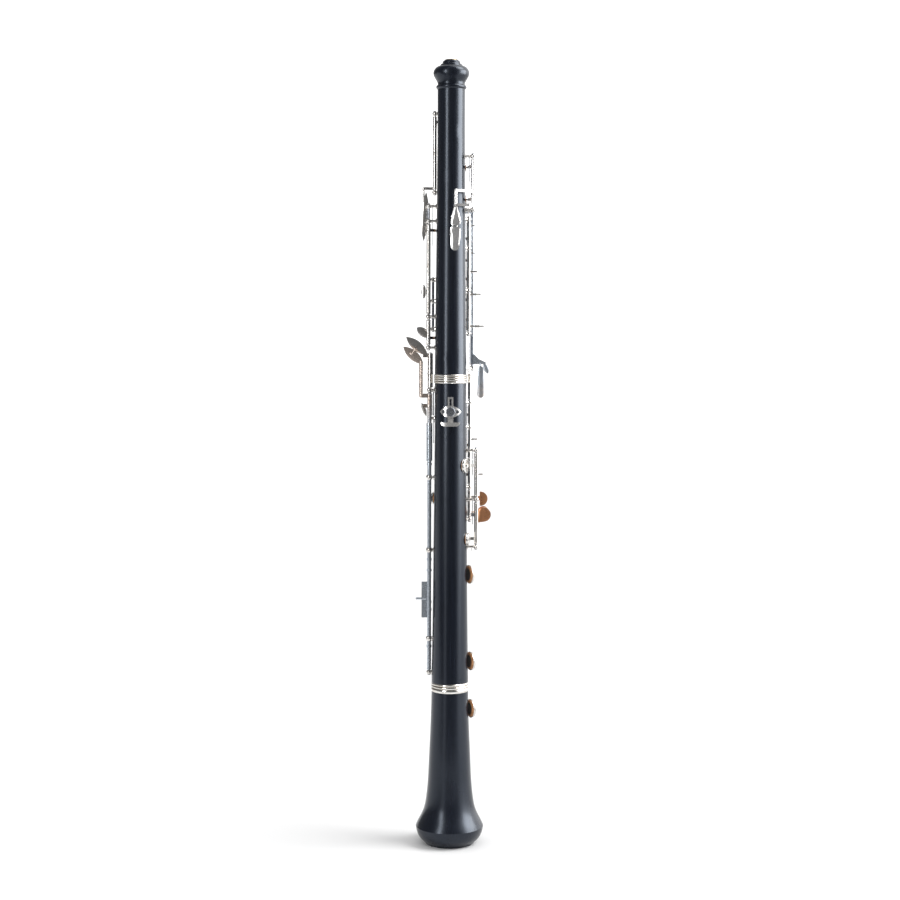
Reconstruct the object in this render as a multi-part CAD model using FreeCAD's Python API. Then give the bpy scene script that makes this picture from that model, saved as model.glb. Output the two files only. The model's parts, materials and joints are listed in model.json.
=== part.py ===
import FreeCAD, Part
import math
import os

# Oboe, standing on its bell. Millimetres, +Z up along the bore, origin at the centre of the bell rim.
# +Y is the front (finger side), -Y the back (thumb side), +X the player's right.
# An azimuth is measured in degrees from the front towards +X.

# ---- driving dimensions -------------------------------------------------------------------------
LENGTH = 591.0            # bell rim to the top of the reed well
MIDDLE = 354.0            # plane where the upper joint meets the lower joint
BELL_TOP = 120.0          # plane where the lower joint meets the bell
TENON_LENGTH = 17.0       # middle joint
BELL_TENON = 12.0
UPPER_TENON_R = 8.4
LOWER_TENON_R = 11.0
CORK = 0.5                # thickness of the cork lapping on a tenon
CORK_MARGIN = 2.0         # bare wood above and below a lapping
WELL_R = 3.45             # reed well
WELL_DEPTH = 21.0
LINER_R = 4.3
MOUTH_R = 16.4            # short straight land inside the bell rim
MOUTH_LENGTH = 5.0
RING_R = 12.6             # rings of the middle joint
RINGS_FOOT = MIDDLE - 3.5
RINGS_TOP = MIDDLE + 3.2
BELL_RING_R = 14.4
BELL_RINGS_FOOT = BELL_TOP - 3.1
BELL_RINGS_TOP = BELL_TOP + 3.9
RING_BED = 11.3           # radius of the wood under the middle rings
BELL_RING_BED = 13.0
BEAD = 0.6                # height of the beads turned on a ring

ROD_R = 1.0               # steel hinge rods
RUNNING = 0.03            # clearance of a hinge tube on its rod
TUBE_R = 1.6              # hinge tubes
POST_R = 2.0              # ball head of a post
STEM_R = 1.05
FLANGE_R = 1.9
FLANGE = 0.7
FLANGE_BED = 0.4          # how far a flange is let into the wood
TAIL = 2.2                # depth of a post's screw in the wood
END_GAP = 0.15            # between a hinge tube and the post beside it
PAD_GAP = 0.08            # between a closed pad and its seat
PAD = 2.0                 # thickness of a pad
CUP_WALL = 0.45
CUP_PLATE = 0.9
SKIRT_RISE = 1.0          # bare part of the pad below the skirt of its cup
SOFT_EDGE = 0.5           # rounding of pads and cups
BOSS_R = 1.5              # small button on the back of a cup
BOSS = 0.6
PLATE_LAP = 0.6           # how far an arm runs over the edge of a finger plate
DISH = 0.55               # depth of the dish in a finger plate
DISH_SPAN = 2.2           # radius of that dish, in radii of the cup
SEAT_RIM = 0.9            # width of the raised rim round a tone hole
SEAT_DEPTH = 0.5
SEAT_MARGIN = 0.7         # flat pocket beyond the edge of a pad
ARM = 1.2                 # thickness of a key arm
ARM_HEIGHT = 2.2
LEVER_HEIGHT = 3.2        # the same for an arm that carries a touch
SLEEVE_R = 2.3            # thick parts of a hinge tube
COLLAR_R = 2.0
COLLAR = 1.6
LUG_R = 1.1               # adjusting screw and its lug
SCREW_R = 0.7
SCREW_REACH = 3.4         # bare length of that screw
TOUCH = 1.6               # thickness of a finger touch at its middle
CROWN = 0.44              # share of that thickness by which each face falls away to the edge
SPRING_R = 0.25
SPRING_LENGTH = 19.0
SPRING_TAIL = 0.6
SPRING_DROP = 2.7         # from a hinge axis towards the bore

# Hinge axes: azimuth, distance from the bore axis, lowest and highest end of the steel rod.
RODS = {
    "upper_stack": (60.0, 15.3, 386.2, 475.3),
    "right_trill": (56.6, 19.65, 360.2, 484.3),
    "left_side": (-90.0, 16.7, 375.4, 484.4),
    "left_inner": (-74.0, 13.9, 389.4, 429.6),
    "side_octave": (-58.0, 14.4, 491.7, 553.8),
    "thumb_octave": (101.0, 16.6, 477.9, 521.3),
    "left_levers": (-73.6, 15.95, 322.2, 373.3),
    "low_b_flat": (-92.0, 15.9, 129.4, 347.1),
    "forked_f": (-28.0, 16.6, 246.8, 281.4),
    "lower_stack": (60.0, 16.8, 245.3, 347.6),
    "right_side": (87.0, 19.6, 225.0, 301.8),
    "low_keys": (36.0, 18.2, 130.2, 263.8),
    "bell": (38.0, 18.6, 89.2, 113.8),
}

# Posts: the heights at which each rod is held.
POSTS = {
    "upper_stack": (473.5, 452.0, 420.5, 388.0),
    "right_trill": (482.5, 362.0),
    "left_side": (482.6, 471.6, 400.3, 377.2),
    "left_inner": (428.0, 412.0, 391.0),
    "side_octave": (552.0, 493.5),
    "thumb_octave": (519.5, 479.7),
    "left_levers": (345.0, 324.0),
    "low_b_flat": (345.3, 131.2),
    "forked_f": (279.6, 248.6),
    "lower_stack": (336.0, 317.5, 292.0, 271.7, 247.1),
    "right_side": (300.0, 262.8, 226.8),
    "low_keys": (262.0, 195.0, 132.0),
    "bell": (112.0, 91.0),
}
COLLARS = (288.8, 216.6, 208.4, 184.2, 178.4, 150.4)    # on the long low B flat tube
GUIDES = (279.6, 224.5, 157.0)    # rings that steady the long low B flat tube
GUIDE_R = 2.5
GUIDE_CLEARANCE = 0.08

# Pad cups: azimuth, height, pad radius, tone hole radius.
CUPS = {
    "second_octave_key": (-12.0, 546.0, 3.2, 0.6),
    "third_octave_key": (62.0, 512.0, 2.9, 0.6),
    "first_octave_key": (62.0, 488.0, 2.9, 0.6),
    "right_trill_key": (3.0, 479.2, 3.6, 1.9),
    "left_trill_key": (-35.0, 465.0, 3.6, 1.9),
    "b_plate": (8.0, 459.0, 5.0, 1.6),
    "c_key": (8.0, 443.0, 4.4, 1.8),
    "a_plate": (8.0, 429.0, 4.8, 1.9),
    "b_flat_key": (8.0, 413.5, 4.2, 2.0),
    "g_plate": (8.0, 398.5, 5.0, 2.2),
    "g_sharp_key": (-32.0, 384.5, 4.2, 2.2),
    "f_sharp_plate": (8.0, 326.5, 5.2, 2.4),
    "e_plate": (8.0, 303.5, 5.4, 2.7),
    "d_plate": (8.0, 281.0, 5.4, 2.8),
    "e_flat_key": (115.0, 288.7, 4.9, 2.5),
    "forked_f_key": (-67.0, 263.4, 4.5, 2.4),
    "c_sharp_key": (100.0, 233.0, 4.4, 2.6),
    "low_c_key": (78.0, 205.5, 6.6, 3.9),
    "low_b_key": (78.0, 139.0, 6.6, 4.0),
    "bell_key": (78.0, 102.5, 6.6, 4.2),
}

# Angle by which a key that stands open at rest is lifted off its seat.
LIFT = {
    "b_plate": -7.0,
    "c_key": -7.0,
    "a_plate": -7.0,
    "b_flat_key": -7.0,
    "g_plate": -7.0,
    "f_sharp_plate": -7.0,
    "e_plate": -7.0,
    "d_plate": -7.0,
    "low_c_key": 13.0,
    "low_b_key": 13.0,
    "bell_key": 12.0,
}

# Hinge tube of each key: its rod, lower and upper end.
TUBES = {
    "second_octave_key": ("side_octave", 495.7, 549.8),
    "third_octave_key": ("thumb_octave", 491.8, 517.3),
    "first_octave_key": ("thumb_octave", 481.85, 491.6),
    "right_trill_key": ("right_trill", 364.2, 480.3),
    "left_trill_key": ("left_side", 402.5, 469.4),
    "b_plate": ("upper_stack", 454.15, 471.35),
    "c_key": ("upper_stack", 436.1, 449.85),
    "a_plate": ("upper_stack", 422.65, 435.95),
    "b_flat_key": ("upper_stack", 405.0, 418.35),
    "g_plate": ("upper_stack", 390.15, 404.85),
    "g_sharp_key": ("left_side", 379.35, 398.15),
    "low_b_lever": ("left_levers", 347.2, 373.0),
    "low_b_flat_lever": ("low_b_flat", 133.4, 343.1),
    "left_f_lever": ("left_levers", 326.2, 342.8),
    "bridge_key": ("lower_stack", 338.3, 357.5),
    "f_sharp_plate": ("lower_stack", 319.65, 333.85),
    "e_plate": ("lower_stack", 294.15, 315.35),
    "d_plate": ("lower_stack", 273.85, 289.85),
    "forked_f_key": ("forked_f", 250.8, 277.4),
    "e_flat_lever": ("lower_stack", 258.6, 269.5),
    "c_sharp_lever": ("lower_stack", 249.3, 258.4),
    "e_flat_key": ("right_side", 265.0, 297.8),
    "c_sharp_key": ("right_side", 229.0, 260.6),
    "low_c_key": ("low_keys", 197.2, 259.8),
    "low_b_key": ("low_keys", 134.2, 192.8),
    "bell_key": ("bell", 93.2, 109.8),
}

# Adjusting screws of the keys: height, and how far to the player's right they reach.
ADJUSTERS = {
    "b_plate": (468.8, 18.0),
    "c_key": (448.3, 18.4),
    "a_plate": (434.4, 20.0),
    "b_flat_key": (417.3, 22.6),
    "g_plate": (393.3, 25.0),
    "e_plate": (308.0, 20.2),
    "e_flat_key": (281.8, 24.4),
}

# Leaf and oval touches: centre, half length, half width, lean.
TOUCHES = {
    "second_octave_key": ((-19.6, 6.2, 475.4), 18.6, 3.1, 93.0),
    "left_trill_key": ((-20.2, -1.0, 419.0), 5.4, 1.9, 90.0),
    "g_sharp_key": ((-20.7, 2.4, 388.6), 6.0, 3.3, 38.0),
    "low_b_lever": ((-25.4, 3.0, 378.4), 10.6, 3.7, 40.0),
    "low_b_flat_lever": ((-28.0, -1.6, 371.4), 10.0, 3.6, 41.0),
    "left_f_lever": ((-20.0, 3.6, 330.6), 5.6, 1.5, 70.0),
    "e_flat_lever": ((22.9, 5.8, 262.9), 5.4, 5.4, 90.0),
    "low_c_key": ((24.8, 11.8, 251.0), 5.4, 4.6, 90.0),
}
ROUND_TOUCHES = ("e_flat_lever", "low_c_key")

Z_AXIS = FreeCAD.Vector(0, 0, 1)
ORIGIN = FreeCAD.Vector(0, 0, 0)


# ---- geometry helpers ---------------------------------------------------------------------------
def point(radius, azimuth, height):
    """Point at a distance from the bore axis, in the direction of an azimuth."""
    angle = math.radians(azimuth)
    return FreeCAD.Vector(radius * math.sin(angle), radius * math.cos(angle), height)


def turned(outline):
    """Solid turned about Z from (radius, height) points; an inner list is one smooth curve."""
    edges = []
    last = None
    start = None
    for item in outline:
        run = item if isinstance(item, list) else [item]
        ends = [FreeCAD.Vector(radius, 0, height) for radius, height in run]
        if last is None:
            start = last = ends[0]
            continue
        if len(ends) == 1:
            edges.append(Part.LineSegment(last, ends[0]).toShape())
        else:
            curve = Part.BSplineCurve()
            curve.interpolate([last] + ends)
            edges.append(curve.toShape())
        last = ends[-1]
    edges.append(Part.LineSegment(last, start).toShape())
    face = Part.Face(Part.Wire(edges))
    return face.revolve(ORIGIN, Z_AXIS, 360)


def cylinder(radius, start, end):
    """Round bar between two points."""
    return Part.makeCylinder(radius, start.distanceToPoint(end), start, end - start)


def disc(radius, azimuth, height, inner, outer):
    """Round bar along an azimuth, between two distances from the bore axis."""
    return cylinder(radius, point(inner, azimuth, height), point(outer, azimuth, height))


def upright(radius, place, low, high):
    """Round bar along Z at the place of a point."""
    base = FreeCAD.Vector(place.x, place.y, low)
    return Part.makeCylinder(radius, high - low, base, Z_AXIS)


def joined(pieces):
    """One solid from pieces that overlap."""
    whole = pieces[0].multiFuse(pieces[1:]) if len(pieces) > 1 else pieces[0]
    return whole.removeSplitter()


def arm(route, height, thickness=ARM, tall=ARM_HEIGHT):
    """Flat bar of a key, on edge, along points in a plane square to the bore."""
    pieces = []
    for place in route:
        pieces.append(upright(thickness / 2, place, height - tall / 2, height + tall / 2))
    for start, end in zip(route, route[1:]):
        run = FreeCAD.Vector(end.x - start.x, end.y - start.y, 0)
        box = Part.makeBox(run.Length, thickness, tall)
        box.translate(FreeCAD.Vector(0, -thickness / 2, -tall / 2))
        angle = math.degrees(math.atan2(run.y, run.x))
        box.rotate(ORIGIN, Z_AXIS, angle)
        box.translate(FreeCAD.Vector(start.x, start.y, height))
        pieces.append(box)
    return pieces


def crowned(blank, half_wide, near, far, centre, lean, thick):
    """Blank of a touch rounded across its width, leant about Y and moved to its place."""
    across = FreeCAD.Vector(0, 1, 0)
    drop = CROWN * thick
    crown_r = (half_wide ** 2 + drop ** 2) / (2 * drop)
    for side in (-1, 1):
        start = FreeCAD.Vector(-near - 1, side * (crown_r - thick / 2), 0)
        blank = blank.common(Part.makeCylinder(crown_r, near + far + 2, start, FreeCAD.Vector(1, 0, 0)))
    blank.rotate(ORIGIN, across, lean)
    blank.translate(centre)
    return blank


def touch(centre, half_long, half_wide, lean=90.0, pointed=True, thick=TOUCH):
    """Finger touch that faces along Y: a pointed or plain oval, crowned across its width.

    Its long axis is leant about Y from the X axis by an angle, so 90 degrees stands it upright.
    """
    across = FreeCAD.Vector(0, 1, 0)
    if pointed:
        side_r = (half_long ** 2 + half_wide ** 2) / (2 * half_wide)
        shift = side_r - half_wide
        blank = Part.makeCylinder(side_r, 2 * thick, FreeCAD.Vector(0, -thick, -shift), across)
        blank = blank.common(Part.makeCylinder(side_r, 2 * thick, FreeCAD.Vector(0, -thick, shift), across))
    else:
        oval = Part.Ellipse(ORIGIN, half_long, half_wide).toShape()
        blank = Part.Face(Part.Wire([oval])).extrude(FreeCAD.Vector(0, 0, 2 * thick))
        blank.translate(FreeCAD.Vector(0, 0, -thick))
        blank.rotate(ORIGIN, FreeCAD.Vector(1, 0, 0), 90)
    return crowned(blank, half_wide, half_long, half_long, centre, lean, thick)


def paddle(centre, big_r, small_r, length, lean, thick=TOUCH):
    """Finger touch that faces along Y, round at both ends and wider at its centre point's end.

    Lean turns it about Y: -90 degrees points its small end up, 90 degrees down, 0 towards +X.
    """
    angle = math.acos((big_r - small_r) / length)
    along, out = math.cos(angle), math.sin(angle)
    big = [FreeCAD.Vector(big_r * along, 0, side * big_r * out) for side in (1, -1)]
    small = [FreeCAD.Vector(length + small_r * along, 0, side * small_r * out) for side in (1, -1)]
    edges = [
        Part.Arc(big[0], FreeCAD.Vector(-big_r, 0, 0), big[1]).toShape(),
        Part.LineSegment(big[1], small[1]).toShape(),
        Part.Arc(small[1], FreeCAD.Vector(length + small_r, 0, 0), small[0]).toShape(),
        Part.LineSegment(small[0], big[0]).toShape(),
    ]
    blank = Part.Face(Part.Wire(edges)).extrude(FreeCAD.Vector(0, 2 * thick, 0))
    blank.translate(FreeCAD.Vector(0, -thick, 0))
    return crowned(blank, big_r, big_r, length + small_r, centre, lean, thick)


def half_space(x_low=-100.0, x_high=100.0, z_low=-100.0, z_high=900.0):
    """Large block between limits in X and Z, to trim the straight edge of a touch."""
    return Part.makeBox(x_high - x_low, 200.0, z_high - z_low, FreeCAD.Vector(x_low, -100.0, z_low))


# ---- rods, posts and cups -----------------------------------------------------------------------
def rod_place(rod):
    """Point on a hinge axis, at the level of the bell rim."""
    azimuth, radius = RODS[rod][:2]
    return point(radius, azimuth, 0.0)


def turn_key(shape, rod, angle):
    """Copy of a key turned about its hinge axis."""
    moved = shape.copy()
    moved.rotate(rod_place(rod), Z_AXIS, angle)
    return moved


def steel_rod(rod):
    """Steel rod of a hinge."""
    low, high = RODS[rod][2:]
    return upright(ROD_R, rod_place(rod), low, high)


OUTLINE = (
    (0.0, 18.4), (13.2, 25.7), (21.4, 21.7), (35.6, 17.8), (66.0, 15.7), (81.0, 15.0), (96.0, 14.45),
    (BELL_TOP, 13.95), (128.0, 13.9), (186.0, 13.1), (224.0, 12.75), (314.0, 11.9), (MIDDLE, 11.9),
    (358.0, 11.9), (525.0, 10.3), (570.0, 10.3),
)


def body_radius(height):
    """Outer radius of the wood at a height."""
    for (low, low_r), (high, high_r) in zip(OUTLINE, OUTLINE[1:]):
        if low <= height <= high:
            return low_r + (high_r - low_r) * (height - low) / (high - low)
    return OUTLINE[-1][1]


def post(rod, height):
    """Post: screw in the wood, flange, stem and ball head."""
    azimuth, radius = RODS[rod][:2]
    wood = body_radius(height)
    stem = disc(STEM_R, azimuth, height, wood - TAIL, radius)
    flange = disc(FLANGE_R, azimuth, height, wood - FLANGE_BED, wood + FLANGE)
    head = Part.makeSphere(POST_R, point(radius, azimuth, height))
    return joined([stem, flange, head])


def guide(height):
    """Post whose head is a ring that steadies the long low B flat tube."""
    azimuth, radius = RODS["low_b_flat"][:2]
    wood = body_radius(height)
    stem = disc(STEM_R, azimuth, height, wood - TAIL, radius)
    flange = disc(FLANGE_R, azimuth, height, wood - FLANGE_BED, wood + FLANGE)
    head = Part.makeSphere(GUIDE_R, point(radius, azimuth, height))
    hole = upright(TUBE_R + GUIDE_CLEARANCE, point(radius, azimuth, 0), height - 4, height + 4)
    return joined([stem, flange, head]).cut(hole)


def seat_distance(key):
    """Distance of a tone hole's flat seat from the bore axis."""
    height, pad_r = CUPS[key][1:3]
    return math.sqrt(body_radius(height) ** 2 - (pad_r + SEAT_MARGIN) ** 2)


def seat_cutter(key):
    """What is cut from the wood for a tone hole: a flat pocket with a raised rim, and the hole."""
    azimuth, height, pad_r, hole_r = CUPS[key]
    seat = seat_distance(key)
    pocket = disc(pad_r + SEAT_MARGIN, azimuth, height, seat - SEAT_DEPTH, seat + 6)
    rim = disc(hole_r + SEAT_RIM, azimuth, height, seat - SEAT_DEPTH, seat)
    hole = disc(hole_r, azimuth, height, 0, seat + 1)
    return pocket.cut(rim).fuse(hole)


def pad_of(key):
    """Leather-covered pad with a rounded edge."""
    azimuth, height, pad_r = CUPS[key][:3]
    base = seat_distance(key) + PAD_GAP
    pad = disc(pad_r, azimuth, height, base, base + PAD)
    rims = [edge for edge in pad.Edges if edge.Curve.TypeId == "Part::GeomCircle"]
    lowest = min(rims, key=lambda edge: edge.CenterOfMass.Length)
    return pad.makeFillet(SOFT_EDGE, [lowest])


def cup_of(key, plate=False):
    """Pad cup: a skirt round the upper part of the pad under a domed or dished plate."""
    azimuth, height, pad_r = CUPS[key][:3]
    base = seat_distance(key) + PAD_GAP
    top = base + PAD
    cup_r = pad_r + CUP_WALL
    skirt = disc(cup_r, azimuth, height, base + SKIRT_RISE, top + CUP_PLATE)
    skirt = skirt.cut(disc(pad_r, azimuth, height, base, top))
    rims = [edge for edge in skirt.Edges if edge.Curve.TypeId == "Part::GeomCircle"]
    highest = max(rims, key=lambda edge: edge.CenterOfMass.Length)
    skirt = skirt.makeFillet(SOFT_EDGE, [highest])
    if not plate:
        boss = disc(BOSS_R, azimuth, height, top, top + CUP_PLATE + BOSS)
        return [skirt, boss]
    dish_r = cup_r * DISH_SPAN
    dish = Part.makeSphere(dish_r, point(top + CUP_PLATE + dish_r - DISH, azimuth, height))
    return [skirt.cut(dish)]


def cup_top(key):
    """Distance from the bore axis at which an arm crosses the back of a cup."""
    return seat_distance(key) + PAD_GAP + PAD + CUP_PLATE + 0.2


def cup_edge(key, rod, reach):
    """Point level with the back of a cup, at a distance from its centre towards the hinge."""
    azimuth = CUPS[key][0]
    side = math.copysign(math.degrees(math.atan2(reach, cup_top(key))), RODS[rod][0] - azimuth)
    return point(math.hypot(cup_top(key), reach), azimuth + side, 0)


def cup_arm(key, rod):
    """Arm from the hinge axis over the back of the cup."""
    azimuth, height, pad_r = CUPS[key][:3]
    route = [rod_place(rod), cup_edge(key, rod, pad_r + CUP_WALL)]
    return arm(route + [point(cup_top(key), azimuth, 0)], height)


def plate_arm(key, rod):
    """Arm from the hinge axis to the near edge of a finger plate."""
    height, pad_r = CUPS[key][1:3]
    edges = [cup_edge(key, rod, reach) for reach in (pad_r + CUP_WALL, pad_r - PLATE_LAP)]
    return arm([rod_place(rod)] + edges, height)


def hinge_tube(rod, low, high, radius=TUBE_R):
    """Tube that turns on a rod; its bore is cut later."""
    return upright(radius, rod_place(rod), low, high)


def key_solid(name, rod, pieces):
    """Key as one solid, bored for its rod and lifted to its place at rest."""
    low, high = RODS[rod][2:]
    whole = joined(pieces)
    whole = whole.cut(upright(ROD_R + RUNNING, rod_place(rod), low - 5, high + 5))
    return turn_key(whole, rod, LIFT.get(name, 0.0))


def pad_solid(name, rod):
    """Pad of a key, lifted with it to its place at rest."""
    return turn_key(pad_of(name), rod, LIFT.get(name, 0.0))


# ---- the wooden joints --------------------------------------------------------------------------
def upper_joint():
    """Upper joint: crown, tapering tube and tenon, with the reed well and the narrow bore."""
    top = LENGTH - 0.9
    outer = [
        (5.6, MIDDLE - TENON_LENGTH), (UPPER_TENON_R, MIDDLE - TENON_LENGTH), (UPPER_TENON_R, MIDDLE),
        (RING_BED, MIDDLE), (RING_BED, RINGS_TOP), (11.9, RINGS_TOP), (11.9, 358.5),
        [(11.3, 420.0), (10.7, 480.0), (10.3, 530.0), (10.3, 568.9)],
        (10.9, 569.5), [(11.35, 570.6), (10.9, 571.7)], (10.2, 572.2),
        [(10.5, 574.4), (11.9, 576.8), (13.0, 578.9), (13.4, 581.2), (12.7, 583.4), (11.2, 585.1),
         (9.3, 586.0)],
        (8.6, 586.1), (8.1, 587.2), (7.1, 587.6), (6.7, 588.2), [(6.5, 589.2), (5.7, top)], (LINER_R, top),
        (LINER_R, LENGTH - WELL_DEPTH - 1.0), (2.1, LENGTH - WELL_DEPTH - 1.0),
        [(3.3, 470.0), (4.5, MIDDLE - TENON_LENGTH + 20)],
    ]
    return turned(outer)


def lower_joint():
    """Lower joint: socket for the upper joint, tapering tube and tenon."""
    socket_r = UPPER_TENON_R + CORK
    outer = [
        (8.0, BELL_TOP - BELL_TENON), (LOWER_TENON_R, BELL_TOP - BELL_TENON),
        (LOWER_TENON_R, BELL_TOP), (BELL_RING_BED, BELL_TOP), (BELL_RING_BED, BELL_RINGS_TOP),
        (13.9, BELL_RINGS_TOP), (13.9, 128.0), [(13.1, 186.0), (12.75, 224.0), (12.2, 280.0), (11.9, 314.0)],
        (11.9, RINGS_FOOT), (RING_BED, RINGS_FOOT), (RING_BED, MIDDLE),
        (socket_r, MIDDLE), (socket_r, MIDDLE - TENON_LENGTH), (5.6, MIDDLE - TENON_LENGTH),
    ]
    return turned(outer)


def bell():
    """Bell: socket, flare, sharp crease and the edge rolled in to the rim."""
    socket_r = LOWER_TENON_R + CORK
    outer = [
        (MOUTH_R, 0.0), (18.4, 0.0),
        [(19.1, 1.0), (22.2, 4.0), (24.3, 7.4), (25.3, 10.6), (25.7, 13.2)],
        [(24.5, 16.0), (21.7, 21.4), (19.3, 27.6), (17.8, 35.6), (16.5, 49.0), (15.7, 66.0),
         (15.0, 81.0), (14.4, 96.0), (13.95, BELL_RINGS_FOOT)],
        (BELL_RING_BED, BELL_RINGS_FOOT), (BELL_RING_BED, BELL_TOP),
        (socket_r, BELL_TOP), (socket_r, BELL_TOP - BELL_TENON), (8.3, BELL_TOP - BELL_TENON),
        [(9.0, 84.0), (10.2, 62.0), (12.2, 40.0), (15.6, 20.0), (17.6, 11.0)],
        [(17.5, 7.6), (MOUTH_R, MOUTH_LENGTH)],
    ]
    return turned(outer)


def ring(low, high, ring_r, inner_r, beads):
    """Silver ring whose face is turned into rounded beads with grooves between them."""
    pitch = (high - low) / beads
    outline = [(inner_r, low), (ring_r - BEAD, low)]
    for index in range(beads):
        foot = low + index * pitch
        outline.append([(ring_r, foot + pitch / 2), (ring_r - BEAD, foot + pitch)])
    return turned(outline + [(inner_r, high)])


def tube(outer_r, inner_r, low, high):
    """Plain tube about the bore axis."""
    whole = Part.makeCylinder(outer_r, high - low, FreeCAD.Vector(0, 0, low), Z_AXIS)
    return whole.cut(Part.makeCylinder(inner_r, high - low + 2, FreeCAD.Vector(0, 0, low - 1), Z_AXIS))


def tenon_corks():
    """Cork lappings, one on each tenon."""
    middle = tube(UPPER_TENON_R + CORK, UPPER_TENON_R, MIDDLE - TENON_LENGTH + CORK_MARGIN,
                  MIDDLE - CORK_MARGIN)
    lower = tube(LOWER_TENON_R + CORK, LOWER_TENON_R, BELL_TOP - BELL_TENON + CORK_MARGIN,
                 BELL_TOP - CORK_MARGIN)
    return [middle, lower]


def reed_well_liner():
    """Metal liner of the reed well with a narrow domed collar on top."""
    floor = LENGTH - WELL_DEPTH
    outline = [
        (2.1, floor - 1.0), (LINER_R, floor - 1.0), (LINER_R, LENGTH - 0.9), (5.1, LENGTH - 0.9),
        [(4.9, LENGTH - 0.35), (4.3, LENGTH - 0.02)], (WELL_R, LENGTH), (WELL_R, floor), (2.1, floor),
    ]
    return turned(outline)


# ---- thumb rest ---------------------------------------------------------------------------------
REST_HEIGHT = 329.5
REST_WOOD = 11.9
REST_PLATE = 0.9
REST_HALF_WIDTH = 7.8
REST_HALF_HEIGHT = 4.5
REST_SCREW_X = 5.3
RAIL_HALF = 2.1
RAIL_BACK = 14.2
SLOT_HALF = 0.75
SADDLE_LOW = 317.4
SADDLE_HEIGHT = 4.4
SADDLE_R = 9.4            # curve of the saddle's underside, seen from behind
SADDLE_HALF = 7.2
SADDLE_BACK = 21.0
DISH_R = 26.0             # hollow on which the thumb lies, across the body
DISH_AXIS = (-17.0, -24.2)    # its axis in Y, and in Z from the foot of the saddle
RAIL_LOW = 8.0            # below the height of the screws
RAIL_LENGTH = 19.0
SLOT_LOW = 4.7
SLOT_LENGTH = 14.4


def back_bar(radius, x, height, near, far):
    """Round bar along -Y between two distances from the bore axis."""
    return cylinder(radius, FreeCAD.Vector(x, -near, height), FreeCAD.Vector(x, -far, height))


def thumb_rest_screws():
    """Two wood screws with slotted heads, and the clamp screw with its socket."""
    screws = []
    for side in (-1, 1):
        x = side * REST_SCREW_X
        shank = back_bar(0.6, x, REST_HEIGHT, REST_WOOD - 4.0, REST_WOOD)
        head = back_bar(1.35, x, REST_HEIGHT, REST_WOOD - 0.25, REST_WOOD + 0.6)
        slot = Part.makeBox(3.0, 0.5, 0.35, FreeCAD.Vector(x - 1.5, -REST_WOOD - 0.7, REST_HEIGHT - 0.17))
        screws.append(joined([shank, head]).cut(slot))
    clamp = back_bar(0.65, 0, REST_HEIGHT, REST_WOOD - 1.5, RAIL_BACK + 0.3)
    knob = back_bar(3.5, 0, REST_HEIGHT, RAIL_BACK + 0.05, RAIL_BACK + 1.3)
    edges = [edge for edge in knob.Edges if edge.Curve.TypeId == "Part::GeomCircle"]
    knob = knob.makeFillet(0.35, edges)
    socket = back_bar(1.3, 0, REST_HEIGHT, RAIL_BACK + 0.6, RAIL_BACK + 2.0)
    screws.append(joined([clamp, knob]).cut(socket))
    return screws


def thumb_rest_plate():
    """Pointed oval plate that follows the curve of the wood."""
    shell = tube(REST_WOOD + REST_PLATE, REST_WOOD, REST_HEIGHT - 8, REST_HEIGHT + 8)
    side_r = (REST_HALF_WIDTH ** 2 + REST_HALF_HEIGHT ** 2) / (2 * REST_HALF_HEIGHT)
    shift = side_r - REST_HALF_HEIGHT
    upper = back_bar(side_r, 0, REST_HEIGHT - shift, 2, 20)
    lower = back_bar(side_r, 0, REST_HEIGHT + shift, 2, 20)
    return shell.common(upper.common(lower))


def thumb_rest_hook():
    """Slotted rail held by the clamp screw, with the curved saddle for the thumb."""
    front = REST_WOOD + REST_PLATE + 0.1
    rail = Part.makeBox(2 * RAIL_HALF, RAIL_BACK - front, RAIL_LENGTH,
                        FreeCAD.Vector(-RAIL_HALF, -RAIL_BACK, REST_HEIGHT - RAIL_LOW))
    slot = Part.makeBox(2 * SLOT_HALF, 6.0, SLOT_LENGTH,
                        FreeCAD.Vector(-SLOT_HALF, -RAIL_BACK - 2, REST_HEIGHT - SLOT_LOW))
    foot = FreeCAD.Vector(0, 0, SADDLE_LOW)
    outer = Part.makeCylinder(SADDLE_BACK, SADDLE_HEIGHT, foot, Z_AXIS)
    inner = Part.makeCylinder(front, SADDLE_HEIGHT, foot, Z_AXIS)
    wedge = Part.makeBox(2 * SADDLE_HALF, 14.0, SADDLE_HEIGHT,
                         FreeCAD.Vector(-SADDLE_HALF, -24.0, SADDLE_LOW))
    saddle = outer.cut(inner).common(wedge)
    axis_y, axis_z = DISH_AXIS
    dish_start = FreeCAD.Vector(-20, axis_y, SADDLE_LOW + axis_z)
    hollow = Part.makeCylinder(DISH_R, 40.0, dish_start, FreeCAD.Vector(1, 0, 0))
    keel = back_bar(SADDLE_R, 0, SADDLE_LOW + SADDLE_R, 0, 30)
    saddle = saddle.cut(hollow).common(keel)
    return joined([rail.cut(slot), saddle])


# ---- parts that several keys share --------------------------------------------------------------
def key_tube(key):
    """Hinge tube of a key."""
    rod, low, high = TUBES[key]
    return [hinge_tube(rod, low, high)]


def leaf_of(key):
    """Leaf or oval touch of a key."""
    centre, half_long, half_wide, lean = TOUCHES[key]
    pointed = key not in ROUND_TOUCHES
    return [touch(FreeCAD.Vector(*centre), half_long, half_wide, lean, pointed)]


def adjuster(key):
    """Small screw on a lug of the hinge tube, for the keys that have one."""
    if key not in ADJUSTERS:
        return []
    height, reach = ADJUSTERS[key]
    place = rod_place(TUBES[key][0])
    start = FreeCAD.Vector(place.x, place.y, height)
    lug = cylinder(LUG_R, start, FreeCAD.Vector(reach - SCREW_REACH, place.y, height))
    screw = cylinder(SCREW_R, start, FreeCAD.Vector(reach, place.y, height))
    return [lug, screw]


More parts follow.
